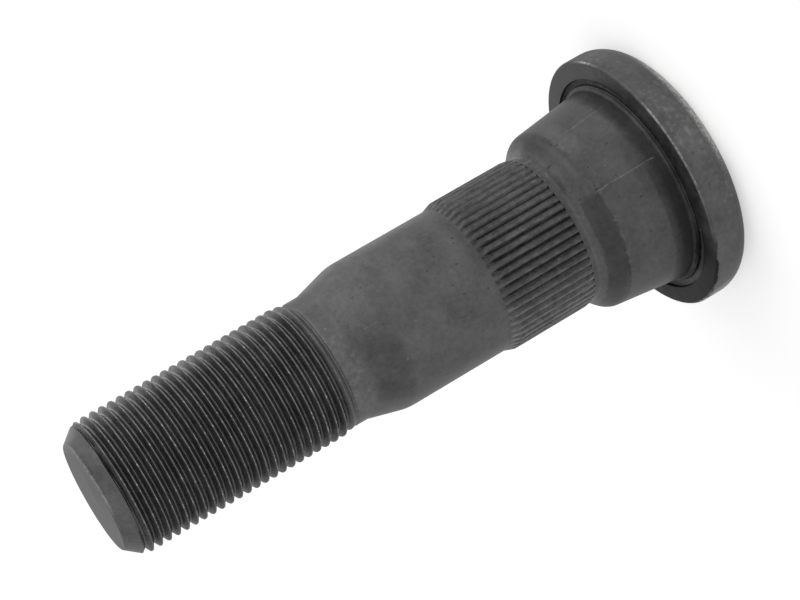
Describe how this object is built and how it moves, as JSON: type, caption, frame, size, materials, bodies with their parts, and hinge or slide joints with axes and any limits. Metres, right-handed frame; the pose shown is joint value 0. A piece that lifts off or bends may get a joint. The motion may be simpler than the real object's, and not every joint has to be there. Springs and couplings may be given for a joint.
{
  "type": "wheel bolt",
  "caption": "Press-in wheel bolt with a round head, conical neck, serrated band, smooth shank and long fine-pitch thread, dark phosphated steel.",
  "frame": {"origin": "centre of the flat back of the head, on the bolt's axis", "axes": "+Z along the bolt's axis from the head to the threaded tip; the section is round, so +X and +Y are any two directions at right angles"},
  "size_m": [0.0426, 0.0426, 0.1035],
  "materials": {
    "phosphated_steel": "dark grey phosphate on forged and turned steel, satin, worn bright on the thread's crests"
  },
  "bodies": {
    "root": {"wheel_bolt": "phosphated_steel"}
  },
  "joints": []
}
